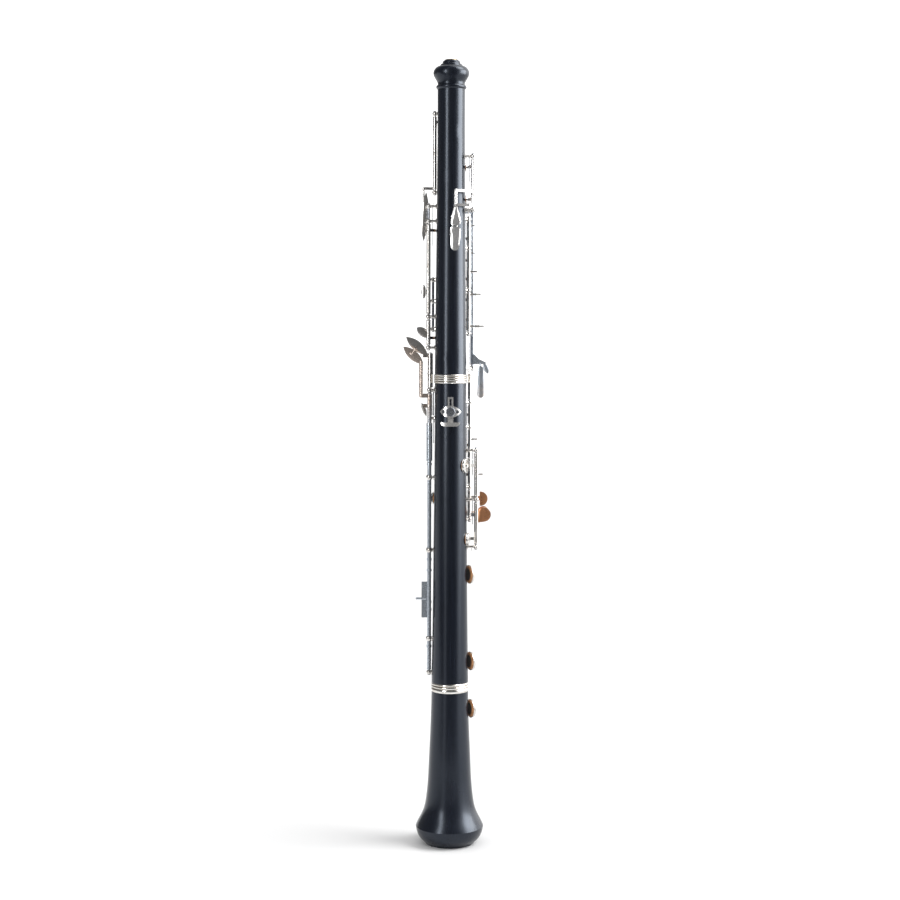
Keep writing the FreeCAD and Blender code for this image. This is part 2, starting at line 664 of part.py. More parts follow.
def lever_arm(key, height, ends, tall=LEVER_HEIGHT, thickness=ARM):
    """Arm from the hinge axis through (x, y) points to a touch."""
    route = [rod_place(TUBES[key][0])] + [FreeCAD.Vector(x, y, 0) for x, y in ends]
    return arm(route, height, thickness, tall)


def cup_key(key, extra=()):
    """Key with a pad cup under its arm."""
    rod = TUBES[key][0]
    pieces = key_tube(key) + cup_arm(key, rod) + cup_of(key) + adjuster(key)
    return key_solid(key, rod, pieces + list(extra))


def plate_key(key):
    """Key with a dished finger plate."""
    rod = TUBES[key][0]
    return key_solid(key, rod, key_tube(key) + plate_arm(key, rod) + cup_of(key, True) + adjuster(key))


def lever_key(key, extra):
    """Key without a pad of its own."""
    return key_solid(key, TUBES[key][0], key_tube(key) + list(extra))


# ---- keys of the upper joint --------------------------------------------------------------------
THUMB_TOUCH_Y = -15.4
THUMB_SPLIT = 467.0       # height at which the two thumb touches nearly meet
THUMB_GAP = 0.3           # from there to each of them
THUMB_TOUCH = 1.9
UPPER_THUMB_ARM = 493.2
LOWER_THUMB_ARM = 482.9


def second_octave_key():
    """Side octave key: long tube, and a leaf that hangs outside the left side rod."""
    key = "second_octave_key"
    arm_height = 496.4
    x, y = -20.6, 6.2
    bend = point(18.2, -66.0, 0)
    lever = lever_arm(key, arm_height, [(bend.x, bend.y), (x, y)], tall=2.0)
    corner = FreeCAD.Vector(x, y, 0)
    neck = [upright(0.75, corner, 486.0, arm_height), upright(0.95, corner, arm_height - 1, arm_height + 1)]
    return cup_key(key, lever + neck + leaf_of(key))


def third_octave_key():
    """Upper thumb key: its arm turns down into a touch that widens towards its flat foot."""
    key = "third_octave_key"
    neck_r = 1.1
    bend = point(17.6, 124.0, 0)
    top = FreeCAD.Vector(3.4, THUMB_TOUCH_Y, 0)
    lever = lever_arm(key, UPPER_THUMB_ARM, [(bend.x, bend.y), (top.x, top.y)], tall=2.0)
    neck = upright(neck_r, top, 482.5, UPPER_THUMB_ARM)
    crook = Part.makeSphere(neck_r, FreeCAD.Vector(top.x, top.y, UPPER_THUMB_ARM))
    wide_end = FreeCAD.Vector(3.5, THUMB_TOUCH_Y, THUMB_SPLIT + 3.3)
    leaf = paddle(wide_end, 3.75, 1.1, 12.6, -90.0, THUMB_TOUCH)
    leaf = leaf.common(half_space(z_low=THUMB_SPLIT + THUMB_GAP))
    return cup_key(key, lever + [neck, crook, leaf])


def first_octave_key():
    """Lower thumb key: its stem passes under the upper touch to a rounded touch below it."""
    key = "first_octave_key"
    foot_r = 0.6
    bend = point(16.6, 124.0, 0)
    corner = FreeCAD.Vector(4.4, -12.3, 464.6)
    lever = lever_arm(key, LOWER_THUMB_ARM, [(bend.x, bend.y), (corner.x, corner.y)], 2.0, 1.0)
    stem = upright(0.45, corner, 464.0, LOWER_THUMB_ARM)
    foot = cylinder(foot_r, corner, FreeCAD.Vector(3.6, THUMB_TOUCH_Y, 463.4))
    elbow = Part.makeSphere(foot_r, corner)
    wide_end = FreeCAD.Vector(3.2, THUMB_TOUCH_Y, THUMB_SPLIT - 3.3)
    oval = paddle(wide_end, 3.95, 3.1, 11.6, 90.0, THUMB_TOUCH)
    oval = oval.common(half_space(z_high=THUMB_SPLIT - THUMB_GAP))
    return cup_key(key, lever + [stem, elbow, foot, oval])


def right_trill_key():
    """Right trill key: a fan-shaped arm at the foot of its long tube, and a hanging leaf."""
    key = "right_trill_key"
    fan_y = 8.6
    fan_thick = 1.2
    touch_y = 9.2
    lever = lever_arm(key, 369.8, [(17.4, touch_y)], tall=3.0)
    outline = [(17.0, 364.8), (17.0, 373.0), (21.4, 368.6), (26.6, 366.2), (26.6, 364.8)]
    corners = [FreeCAD.Vector(x, fan_y, z) for x, z in outline]
    fan = Part.Face(Part.makePolygon(corners + corners[:1])).extrude(FreeCAD.Vector(0, fan_thick, 0))
    stalk = upright(0.65, FreeCAD.Vector(22.5, touch_y, 0), 356.0, 366.0)
    hanging = paddle(FreeCAD.Vector(22.8, touch_y, 341.9), 2.6, 1.9, 19.4, -90.0, 1.4)
    side = touch(FreeCAD.Vector(26.7, touch_y, 361.6), 4.4, 1.9, lean=68.0, thick=fan_thick)
    return cup_key(key, lever + [fan, stalk, hanging, side])


def left_trill_key():
    """Left trill key, with a small leaf beside its tube."""
    key = "left_trill_key"
    return cup_key(key, lever_arm(key, 419.0, [(-20.2, -1.0)], tall=3.0) + leaf_of(key))


def g_sharp_key():
    """G sharp key, with its leaf touch beside the foot of the left side rod."""
    key = "g_sharp_key"
    return cup_key(key, lever_arm(key, 388.0, [(-20.4, 2.4)], tall=3.0) + leaf_of(key))


def low_b_lever():
    """Left-hand lever with a leaf touch, on the free end of its rod."""
    key = "low_b_lever"
    rod, low, high = TUBES[key]
    sleeve = hinge_tube(rod, low, high, 2.1)
    collar = hinge_tube(rod, 357.2, 358.2, SLEEVE_R)
    return lever_key(key, [sleeve, collar] + lever_arm(key, 371.4, [(-20.4, 3.3)]) + leaf_of(key))


def low_b_flat_lever():
    """Long tube down the left side, with the lowest leaf touch on a tall arm."""
    key = "low_b_flat_lever"
    rod = TUBES[key][0]
    start = rod_place(rod)
    bar_r = 1.5
    bar_low = 341.0
    bar_high = 367.0
    clip_r = 0.55
    sleeves = [hinge_tube(rod, 292.0, 320.5, SLEEVE_R)]
    sleeves += [hinge_tube(rod, low, low + COLLAR, COLLAR_R) for low in COLLARS]
    out = FreeCAD.Vector(-22.3, -1.6, 0)
    bar = [upright(bar_r, out, bar_low, bar_high)]
    bar += [Part.makeSphere(bar_r, FreeCAD.Vector(out.x, out.y, z)) for z in (bar_low, bar_high)]
    clip = [
        cylinder(clip_r, FreeCAD.Vector(-29.2, -1.8, 372.0), FreeCAD.Vector(-26.4, -2.9, 376.6)),
        cylinder(clip_r, FreeCAD.Vector(-28.6, -1.6, 371.2), FreeCAD.Vector(-30.6, -2.6, 373.2)),
    ]
    plate = Part.makeBox(5.0, 1.0, 27.4, FreeCAD.Vector(-21.6, start.y - 0.5, 173.0))
    spur_z = 187.5
    spur = cylinder(0.9, FreeCAD.Vector(start.x - 2, start.y, spur_z), FreeCAD.Vector(-26.0, start.y, spur_z))
    arms = lever_arm(key, 341.2, [(out.x, out.y)])
    arms += lever_arm(key, 135.6, [(-16.6, 7.6)], tall=ARM_HEIGHT)
    return lever_key(key, sleeves + arms + bar + clip + leaf_of(key) + [plate, spur])


def left_f_lever():
    """Short left-hand lever with an S-shaped arm."""
    key = "left_f_lever"
    return lever_key(key, lever_arm(key, 333.4, [(-18.4, 4.4), (-20.2, 3.6)], tall=3.0) + leaf_of(key))


# ---- keys of the lower joint --------------------------------------------------------------------
def bridge_key():
    """Bridge lug that carries the motion of the lower stack past the middle joint."""
    return lever_key("bridge_key", [])


def e_flat_lever():
    """Pinky lever with a rounded touch, straight along its inner side."""
    key = "e_flat_lever"
    rounded = leaf_of(key)[0].common(half_space(x_low=22.3))
    return lever_key(key, lever_arm(key, 263.4, [(23.0, 6.2)]) + [rounded])


def c_sharp_lever():
    """Pinky lever with the large drop-shaped touch."""
    key = "c_sharp_lever"
    drop = paddle(FreeCAD.Vector(25.4, 5.8, 250.8), 5.4, 0.8, 7.6, 135.0)
    return lever_key(key, lever_arm(key, 250.6, [(22.0, 5.8)], tall=2.6) + [drop])


def low_c_key():
    """Low C key, with the third pinky touch on its own tube."""
    key = "low_c_key"
    return cup_key(key, lever_arm(key, 251.0, [(22.0, 12.0)]) + leaf_of(key))


# Keys made by functions of their own; the others are plain cup or plate keys.
SHAPED_KEYS = {
    "second_octave_key": second_octave_key,
    "third_octave_key": third_octave_key,
    "first_octave_key": first_octave_key,
    "right_trill_key": right_trill_key,
    "left_trill_key": left_trill_key,
    "g_sharp_key": g_sharp_key,
    "low_b_lever": low_b_lever,
    "low_b_flat_lever": low_b_flat_lever,
    "left_f_lever": left_f_lever,
    "bridge_key": bridge_key,
    "e_flat_lever": e_flat_lever,
    "c_sharp_lever": c_sharp_lever,
    "low_c_key": low_c_key,
}


def key_shape(key):
    """Finished solid of any key."""
    if key in SHAPED_KEYS:
        return SHAPED_KEYS[key]()
    return plate_key(key) if key.endswith("_plate") else cup_key(key)


# ---- fixed metalwork and the finished wood ------------------------------------------------------
RISING_SPRINGS = (("right_trill", 362.0),)
UNSPRUNG = ("left_inner",)    # short rod that only stiffens the posts beside the left keys


def needle_springs():
    """Needle springs that lie between the wood and the hinge tubes."""
    springs = []
    for rod, heights in POSTS.items():
        azimuth, radius = RODS[rod][:2]
        place = point(radius - SPRING_DROP, azimuth, 0)
        for height in heights[:2]:
            if rod in UNSPRUNG or height - SPRING_LENGTH < BELL_RINGS_TOP < height:
                continue
            low, high = height - SPRING_LENGTH, height + SPRING_TAIL
            if (rod, height) in RISING_SPRINGS:
                low, high = height - SPRING_TAIL, height + SPRING_LENGTH
            springs.append(upright(SPRING_R, place, low, high))
    return springs


VENTS = ("second_octave_key", "third_octave_key", "first_octave_key")
VENT_R = 1.6
VENT_DEPTH = 3.0


def octave_vents():
    """Metal inserts with a fine hole, one under each octave pad."""
    inserts = []
    for name in VENTS:
        azimuth, height = CUPS[name][:2]
        hole_r = CUPS[name][3]
        seat = seat_distance(name)
        insert = disc(VENT_R, azimuth, height, seat - VENT_DEPTH, seat)
        inserts.append(insert.cut(disc(hole_r, azimuth, height, 0, seat + 1)))
    return inserts


STEEL_RODS = [steel_rod(rod) for rod in RODS]
POST_SHAPES = [(height, post(rod, height)) for rod, heights in POSTS.items() for height in heights]
POST_SHAPES += [(height, guide(height)) for height in GUIDES]
SPRINGS = needle_springs()


def fitted_posts():
    """Posts bored for the rods and springs that they hold."""
    tools = Part.makeCompound(STEEL_RODS + SPRINGS)
    return [shape.cut(tools) for height, shape in POST_SHAPES]


def drilled(wood, low, high):
    """Wood with its tone holes, post holes and thumb rest holes between two heights."""
    tools = [seat_cutter(name) for name in CUPS if low < CUPS[name][1] < high]
    tools += [shape for height, shape in POST_SHAPES if low < height < high]
    for name in VENTS:
        azimuth, height = CUPS[name][:2]
        seat = seat_distance(name)
        if low < height < high:
            tools.append(disc(VENT_R, azimuth, height, seat - VENT_DEPTH, seat + 1))
    if low < REST_HEIGHT < high:
        tools += thumb_rest_screws()
    for tool in tools:
        wood = wood.cut(tool)
    return wood


MIDDLE_RINGS = [
    ring(RINGS_FOOT, MIDDLE, RING_R, RING_BED, 2),
    ring(MIDDLE, RINGS_TOP, RING_R, RING_BED, 2),
]
BELL_RINGS = [
    ring(BELL_RINGS_FOOT, BELL_TOP, BELL_RING_R, BELL_RING_BED, 1),
    ring(BELL_TOP, BELL_RINGS_TOP, BELL_RING_R, BELL_RING_BED, 2),
]

NODES = {
    "upper_joint": [drilled(upper_joint(), MIDDLE, LENGTH)],
    "lower_joint": [drilled(lower_joint(), BELL_TOP, MIDDLE)],
    "bell": [drilled(bell(), 0, BELL_TOP)],
    "middle_joint_rings": MIDDLE_RINGS,
    "bell_joint_rings": BELL_RINGS,
    "tenon_corks": tenon_corks(),
    "reed_well_liner": [reed_well_liner()],
    "octave_vents": octave_vents(),
    "thumb_rest_plate": [thumb_rest_plate().cut(Part.makeCompound(thumb_rest_screws()))],
    "thumb_rest_screws": thumb_rest_screws(),
    "thumb_rest_hook": [thumb_rest_hook()],
    "posts": fitted_posts(),
    "hinge_rods": STEEL_RODS,
    "needle_springs": SPRINGS,
}
for name, (rod, low, high) in TUBES.items():
    NODES[name] = [key_shape(name)]
    if name in CUPS:
        NODES[name.replace("_key", "").replace("_plate", "") + "_pad"] = [pad_solid(name, rod)]

os.makedirs("parts", exist_ok=True)
for name, solids in NODES.items():
    shape = solids[0] if len(solids) == 1 else Part.makeCompound(solids)
    shape.exportStep("parts/" + name + ".step")
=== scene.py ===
import bpy
import bmesh
import json
import math
import numpy
from mathutils import Matrix, Vector

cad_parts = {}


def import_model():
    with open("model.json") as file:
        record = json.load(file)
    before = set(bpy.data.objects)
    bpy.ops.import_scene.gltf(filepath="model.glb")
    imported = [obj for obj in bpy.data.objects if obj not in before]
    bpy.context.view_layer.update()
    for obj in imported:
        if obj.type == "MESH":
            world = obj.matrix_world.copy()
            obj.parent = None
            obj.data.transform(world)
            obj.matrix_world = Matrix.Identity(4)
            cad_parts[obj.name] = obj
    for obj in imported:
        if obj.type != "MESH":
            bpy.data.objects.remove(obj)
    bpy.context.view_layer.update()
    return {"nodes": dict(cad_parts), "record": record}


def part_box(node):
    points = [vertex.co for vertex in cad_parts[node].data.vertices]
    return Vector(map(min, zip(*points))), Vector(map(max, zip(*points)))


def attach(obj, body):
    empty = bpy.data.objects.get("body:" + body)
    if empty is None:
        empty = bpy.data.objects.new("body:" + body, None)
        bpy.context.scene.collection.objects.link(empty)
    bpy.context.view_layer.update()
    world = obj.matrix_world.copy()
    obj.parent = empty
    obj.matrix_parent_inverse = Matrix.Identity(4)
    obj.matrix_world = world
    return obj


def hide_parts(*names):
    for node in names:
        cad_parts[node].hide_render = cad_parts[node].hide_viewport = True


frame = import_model()
MM = 0.001

# Sizes of the CAD parts that the finer pieces sit on.
TUBE_R = 1.6 * MM
POST_R = 2.0 * MM
CUP_WALL = 0.45 * MM
THUMB_TOUCH = 1.9 * MM
THUMB_TOUCHES = {"third_octave_key": (466.5 * MM, 483.5 * MM), "first_octave_key": (444.0 * MM, 467.2 * MM)}

# Shape of the finer pieces. A pad's face is given as (share of the radius, height in mm), its back as a share
# of the thickness, a dome's rise as a share of the touch's thickness, and grooves as shares of the rings.
PAD_FACE = [(0, 0.09), (0.30, 0.08), (0.55, 0.03), (0.78, 0.01), (0.90, 0.10), (0.965, 0.34), (0.985, 0.7),
            (0.975, 1.1)]
PAD_BACK = 0.98
CUP_LIP_HEIGHT = 1.22 * MM
POST_NECK_R = 1.05 * MM
POST_NECK_INSET = 0.30 * MM
COLLAR_INSET = 0.7 * MM
COLLAR_SPACING = 24 * MM
DOME_RISE = 0.62
DOME_RINGS = (1.0, 0.985, 0.94, 0.87, 0.78, 0.66, 0.52, 0.36, 0.18)
OUTLINE_STEP = 0.5 * MM
RING_GROOVES = {"middle_joint_rings": (0.26, 0.52, 0.76), "bell_joint_rings": (0.44, 0.72)}
GROOVE_DEPTH = 0.52 * MM
# Width and rise of the half-round beads.
CUP_LIP = (0.42 * MM, 0.13 * MM)
COLLAR = (0.8 * MM, 0.17 * MM)
POST_BEAD = (0.5 * MM, 0.32 * MM)
RING_LINE = (0.42 * MM, 0.22 * MM)
# Slotted heads of the hinge rods.
SLOT_HALF = 0.16 * MM
HEAD_R = 1.15 * MM
HEAD_HEIGHT = 0.42 * MM
HEAD_FOOT = 0.12 * MM
HEAD_SINK = 0.05 * MM

# Painted shade on the middle of a pad's face, where it faces the body: distance from its centre, depth from
# its face, and colour.
SHADED_MIDDLE_EDGE = (4.4 * MM, 5.0 * MM)
SHADED_MIDDLE_DEPTH = (0.12 * MM, 0.20 * MM)
PAINTED_SHADE_LEATHER = (0.035, 0.022, 0.016, 1)

# Camera: it stands in front of the thumb side and looks slightly down.
CAMERA_X = -0.0003
CAMERA_DISTANCE = 1.30
EYE_HEIGHT = 0.382
AIM_HEIGHT = 0.3002
VIEW_WIDTH = 0.6785
CAMERA_ROLL = 0.15

# Light: strength of the even dome, of the white that the camera sees, and of the room that reflections see.
DOME = 0.80
SKY = 1.4
BRIGHTEST = 4.0
# The room that reflections see around the oboe: (degrees to the camera's right, brightness).
ROOM = [(-180, 1.0), (-156, 0.8), (-140, 0.22), (-56, 0.12), (-41, 0.20), (-31, 1.30), (-23, 0.26),
        (-20, 0.16), (30, 0.13), (42, 0.22), (56, 1.5), (74, 3.2), (96, 3.0), (116, 2.4), (134, 2.2),
        (150, 1.5), (180, 1.0)]
FLOOR_SIDE = 6.0
FLOOR_FRONT = -0.36
FLOOR_BACK = 9.0


# ---- materials ----------------------------------------------------------------------------------
def new_material(name):
    """A node material with only its shader and output."""
    made = bpy.data.materials.new(name)
    made.use_nodes = True
    tree = made.node_tree
    tree.nodes.clear()
    out = tree.nodes.new("ShaderNodeOutputMaterial")
    shader = tree.nodes.new("ShaderNodeBsdfPrincipled")
    tree.links.new(shader.outputs["BSDF"], out.inputs["Surface"])
    return made, tree, shader


def coordinates(tree, scale):
    """Object coordinates stretched by a scale, so that texture sizes are real ones."""
    source = tree.nodes.new("ShaderNodeTexCoord")
    mapping = tree.nodes.new("ShaderNodeMapping")
    mapping.inputs["Scale"].default_value = scale
    tree.links.new(source.outputs["Object"], mapping.inputs["Vector"])
    return mapping.outputs["Vector"]


def noise(tree, scale, detail=4.0, roughness=0.55, stretch=(1, 1, 1)):
    """Value of a noise texture in object coordinates."""
    node = tree.nodes.new("ShaderNodeTexNoise")
    node.inputs["Scale"].default_value = scale
    node.inputs["Detail"].default_value = detail
    node.inputs["Roughness"].default_value = roughness
    tree.links.new(coordinates(tree, stretch), node.inputs["Vector"])
    return node.outputs["Fac"]


def ramp(tree, value, stops):
    """Colour ramp through (position, colour) stops."""
    node = tree.nodes.new("ShaderNodeValToRGB")
    elements = node.color_ramp.elements
    elements[0].position, elements[0].color = stops[0][0], stops[0][1] + (1.0,)
    elements[1].position, elements[1].color = stops[1][0], stops[1][1] + (1.0,)
    for place, colour in stops[2:]:
        elements.new(place).color = colour + (1.0,)
    tree.links.new(value, node.inputs["Fac"])
    return node.outputs["Color"]


def grey(level):
    """Colour of equal red, green and blue."""
    return (level, level, level)


def spread(tree, value, low, high, start=0.3, end=0.7):
    """Maps a texture's value to a range."""
    node = tree.nodes.new("ShaderNodeMapRange")
    node.inputs["From Min"].default_value = start
    node.inputs["From Max"].default_value = end
    node.inputs["To Min"].default_value = low
    node.inputs["To Max"].default_value = high
    tree.links.new(value, node.inputs["Value"])
    return node.outputs["Result"]


def bump(tree, shader, value, strength, depth, under=None):
    """Raises the surface with a texture's value, on top of another bump if one is given."""
    node = tree.nodes.new("ShaderNodeBump")
    node.inputs["Strength"].default_value = strength
    node.inputs["Distance"].default_value = depth
    tree.links.new(value, node.inputs["Height"])
    if under is not None:
        tree.links.new(under, node.inputs["Normal"])
    tree.links.new(node.outputs["Normal"], shader.inputs["Normal"])
    return node.outputs["Normal"]


def blackwood():
    """Oiled black wood: blue-black, with fine grain and short pores along the bore."""
    made, tree, shader = new_material("blackwood")
    streaks = noise(tree, 900.0, 6.0, 0.6, (1, 1, 0.035))
    clouds = noise(tree, 26.0, 3.0, 0.5, (1, 1, 0.3))
    colour = ramp(tree, streaks, [(0.30, (0.0038, 0.0050, 0.0092)), (0.72, (0.0092, 0.0118, 0.0205)),
                                  (0.52, (0.0058, 0.0077, 0.0140))])
    tree.links.new(colour, shader.inputs["Base Color"])
    tree.links.new(spread(tree, clouds, 0.21, 0.30), shader.inputs["Roughness"])
    shader.inputs["Specular IOR Level"].default_value = 0.5
    shader.inputs["Specular Tint"].default_value = (0.78, 0.87, 1.0, 1.0)
    pores = noise(tree, 2400.0, 2.0, 0.5, (1, 1, 0.05))
    first = bump(tree, shader, streaks, 0.10, 0.00008)
    bump(tree, shader, spread(tree, pores, 0.0, 1.0, 0.28, 0.36), 0.12, 0.00006, first)
    return made


def silver(name, bright, dark, low, high, scratch=0.04):
    """Silver plate: polished, with handling haze, faint tarnish and hair scratches."""
    made, tree, shader = new_material(name)
    haze = noise(tree, 120.0, 5.0, 0.6)
    colour = ramp(tree, haze, [(0.34, dark), (0.62, bright)])
    tree.links.new(colour, shader.inputs["Base Color"])
    shader.inputs["Metallic"].default_value = 1.0
    tree.links.new(spread(tree, haze, high, low), shader.inputs["Roughness"])
    bump(tree, shader, noise(tree, 1500.0, 3.0, 0.5, (1, 1, 0.25)), scratch, 0.00004)
    return made


def pad_leather():
    """Orange-brown pad skin with a fine grain, and painted shade that darkens the middle of the face of the
    large pads.
    """
    made, tree, shader = new_material("pad_leather")
    mottle = noise(tree, 420.0, 5.0, 0.6)
    skin = ramp(tree, mottle, [(0.30, (0.40, 0.16, 0.058)), (0.70, (0.82, 0.42, 0.19))])
    flat = tree.nodes.new("ShaderNodeVectorMath")
    flat.operation = "LENGTH"
    tree.links.new(coordinates(tree, (1, 1, 0)), flat.inputs[0])
    outside = spread(tree, flat.outputs["Value"], 0.0, 1.0, *SHADED_MIDDLE_EDGE)
    place = tree.nodes.new("ShaderNodeSeparateXYZ")
    tree.links.new(coordinates(tree, (1, 1, 1)), place.inputs["Vector"])
    behind = spread(tree, place.outputs["Z"], 0.0, 1.0, *SHADED_MIDDLE_DEPTH)
    # Painted shade: the middle of the face takes the dark colour, the rest keeps the skin.
    unshaded = tree.nodes.new("ShaderNodeMath")
    unshaded.operation = "MAXIMUM"
    tree.links.new(outside, unshaded.inputs[0])
    tree.links.new(behind, unshaded.inputs[1])
    mix = tree.nodes.new("ShaderNodeMix")
    mix.data_type = "RGBA"
    # Inputs 6 and 7 are the two colours that it mixes, and output 2 is the mixed one.
    tree.links.new(unshaded.outputs[0], mix.inputs["Factor"])
    mix.inputs[6].default_value = PAINTED_SHADE_LEATHER
    tree.links.new(skin, mix.inputs[7])
    tree.links.new(mix.outputs[2], shader.inputs["Base Color"])
    tree.links.new(spread(tree, mottle, 0.48, 0.66), shader.inputs["Roughness"])
    shader.inputs["Sheen Weight"].default_value = 0.15
    grain = tree.nodes.new("ShaderNodeTexVoronoi")
    grain.inputs["Scale"].default_value = 2600.0
    tree.links.new(coordinates(tree, (1, 1, 1)), grain.inputs["Vector"])
    bump(tree, shader, grain.outputs["Distance"], 0.25, 0.00008)
    return made


def cork_material():
    """Dry cork: light brown grains with dark pits."""
    made, tree, shader = new_material("cork")
    grains = noise(tree, 900.0, 6.0, 0.7)
    colour = ramp(tree, grains, [(0.35, (0.16, 0.085, 0.04)), (0.55, (0.48, 0.31, 0.17)),
                                 (0.75, (0.62, 0.43, 0.26))])
    tree.links.new(colour, shader.inputs["Base Color"])
    shader.inputs["Roughness"].default_value = 0.8
    bump(tree, shader, grains, 0.4, 0.0002)
    return made


def graded_silver(name, along, start, end, stops, low=0.18, high=0.30, metallic=1.0):
    """Silver plate whose colour changes along X, Y or Z between two places, with a ragged border."""
    made, tree, shader = new_material(name)
    source = tree.nodes.new("ShaderNodeTexCoord")
    split = tree.nodes.new("ShaderNodeSeparateXYZ")
    tree.links.new(source.outputs["Object"], split.inputs["Vector"])
    rub = tree.nodes.new("ShaderNodeMath")
    rub.operation = "MULTIPLY_ADD"
    tree.links.new(noise(tree, 260.0, 4.0, 0.6), rub.inputs[0])
    rub.inputs[1].default_value = (end - start) * 0.8
    tree.links.new(split.outputs[along], rub.inputs[2])
    grade = spread(tree, rub.outputs[0], 0.0, 1.0, start, end)
    tree.links.new(ramp(tree, grade, stops), shader.inputs["Base Color"])
    shader.inputs["Metallic"].default_value = metallic
    tree.links.new(spread(tree, noise(tree, 120.0, 5.0, 0.6), high, low), shader.inputs["Roughness"])
    bump(tree, shader, noise(tree, 1500.0, 3.0, 0.5, (1, 1, 0.25)), 0.05, 0.00004)
    return made


MATERIALS = {
    "blackwood": blackwood(),
    "key_silver": silver("key_silver", (0.83, 0.82, 0.80), (0.60, 0.565, 0.53), 0.13, 0.24),
    "ring_silver": silver("ring_silver", (0.86, 0.85, 0.82), (0.66, 0.62, 0.56), 0.12, 0.22),
    "steel": silver("steel", (0.50, 0.52, 0.56), (0.30, 0.32, 0.36), 0.2, 0.34),
    "screw_metal": silver("screw_metal", (0.70, 0.68, 0.64), (0.42, 0.38, 0.33), 0.2, 0.34),
    "liner_metal": silver("liner_metal", (0.30, 0.25, 0.17), (0.12, 0.10, 0.08), 0.28, 0.45),
    "pad_leather": pad_leather(),
    "cork": cork_material(),
}

# Tints that the silver of some keys grades between: clean, a blue-grey that is a painted reflection of the
# grey surroundings, and copper-red.
PLAIN = (0.78, 0.76, 0.73)
PAINTED_GREY_REFLECTION = (0.55, 0.60, 0.66)
COPPER = (0.64, 0.30, 0.15)
COPPERED = graded_silver("coppered_silver", "X", 0.0195, 0.0245,
                         [(0.0, PLAIN), (1.0, COPPER), (0.5, (0.66, 0.44, 0.30))], 0.24, 0.36, 0.80)
# The low B flat lever turns blue-grey at its lower end and the right trill key at its upper end: a painted
# reflection of the grey surroundings.
LEFT_TUBE = graded_silver("left_tube_silver", "Z", 0.325, 0.345, [(0.0, PAINTED_GREY_REFLECTION), (1.0, (0.62, 0.53, 0.47))],
                          metallic=0.82)
RIGHT_LEAF = graded_silver("right_leaf_silver", "Z", 0.332, 0.364,
                           [(0.0, (0.55, 0.50, 0.52)), (1.0, PAINTED_GREY_REFLECTION), (0.45, (0.78, 0.66, 0.58))],
                           0.24, 0.36, 0.8)
SATIN = graded_silver("satin_silver", "Z", 0.30, 0.50, [(0.0, (0.90, 0.88, 0.85)), (1.0, (0.92, 0.91, 0.90))],
                      0.14, 0.22, 0.86)

# Nodes whose finish isn't that of their material slot.
FINISHES = {
    "e_flat_lever": COPPERED,
    "c_sharp_lever": COPPERED,
    "low_c_key": COPPERED,
    "low_b_flat_lever": LEFT_TUBE,
    "right_trill_key": RIGHT_LEAF,
    "third_octave_key": SATIN,
    "first_octave_key": SATIN,
    "thumb_rest_plate": SATIN,
    "thumb_rest_hook": SATIN,
    "thumb_rest_screws": MATERIALS["steel"],
}

for entry in frame["record"]["subparts"]:
    node = frame["nodes"][entry["node"]]
    finish = FINISHES.get(entry["node"], MATERIALS[entry["material_slot"]])
    for place in node.material_slots:
        place.material = finish


# ---- finer pieces that ride on the CAD bodies ---------------------------------------------------
BODY_OF = {node: body for body, nodes in frame["record"]["behaviour"]["bodies"].items() for node in nodes}
PADS = sorted(node for node in BODY_OF if node.endswith("_pad"))
HINGES = [joint for joint in frame["record"]["behaviour"]["joints"] if joint["type"] == "hinge"]


def points_of(node):
    """Vertices of a CAD node, in metres."""
    vertices = frame["nodes"][node].data.vertices
    flat = numpy.empty(len(vertices) * 3)
    vertices.foreach_get("co", flat)
    return flat.reshape(-1, 3)


def islands(node):
    """Separate solids of a CAD node, from the lowest to the highest, each as an array of points."""
    made = bmesh.new()
    made.from_mesh(frame["nodes"][node].data)
    bmesh.ops.remove_doubles(made, verts=made.verts, dist=1e-6)
    waiting = set(made.verts)
    groups = []
    for seed in made.verts:
        if seed not in waiting:
            continue
        waiting.discard(seed)
        stack = [seed]
        group = []
        while stack:
            vertex = stack.pop()
            group.append(tuple(vertex.co))
            for edge in vertex.link_edges:
                other = edge.other_vert(vertex)
                if other in waiting:
                    waiting.discard(other)
                    stack.append(other)
        groups.append(numpy.array(group))
    made.free()
    return sorted(groups, key=lambda group: tuple(group.mean(0)[::-1].round(6)))


def add_piece(name, made, material, body, centre=(0, 0, 0), axis=None, smooth=True):
    """Piece made of a finished bmesh, whose own Z axis is laid along an axis; it rides with a CAD body."""
    bmesh.ops.recalc_face_normals(made, faces=made.faces)
    mesh = bpy.data.meshes.new(name)
    made.to_mesh(mesh)
    made.free()
    for face in mesh.polygons:
        face.use_smooth = smooth
    mesh.materials.append(material)
    piece = bpy.data.objects.new(name, mesh)
    bpy.context.collection.objects.link(piece)
    piece.location = centre
    if axis is not None:
        piece.rotation_euler = Vector(axis).to_track_quat("Z", "Y").to_euler()
    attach(piece, body)
    return piece


def turned(name, node, finish, profile, centre, axis, closed=False, sides=40):
    """Smooth turned piece from (radius, height) points round an axis; it rides with a CAD node's body."""
    made = bmesh.new()
    rings = []
    for radius, height in profile:
        if radius == 0:
            rings.append([made.verts.new((0, 0, height))])
            continue
        ring = []
        for step in range(sides):
            angle = 2 * math.pi * step / sides
            ring.append(made.verts.new((radius * math.cos(angle), radius * math.sin(angle), height)))
        rings.append(ring)
    pairs = list(zip(rings, rings[1:]))
    if closed:
        pairs.append((rings[-1], rings[0]))
    for below, above in pairs:
        for step in range(sides):
            after = (step + 1) % sides
            corners = [below[step % len(below)], below[after % len(below)]]
            corners += [above[after % len(above)], above[step % len(above)]]
            made.faces.new(list(dict.fromkeys(corners)))
    material = FINISHES.get(node, MATERIALS[finish])
    piece = add_piece(name, made, material, BODY_OF[node], centre, axis)
    piece.modifiers.new("smooth", "SUBSURF").render_levels = 1
    return piece


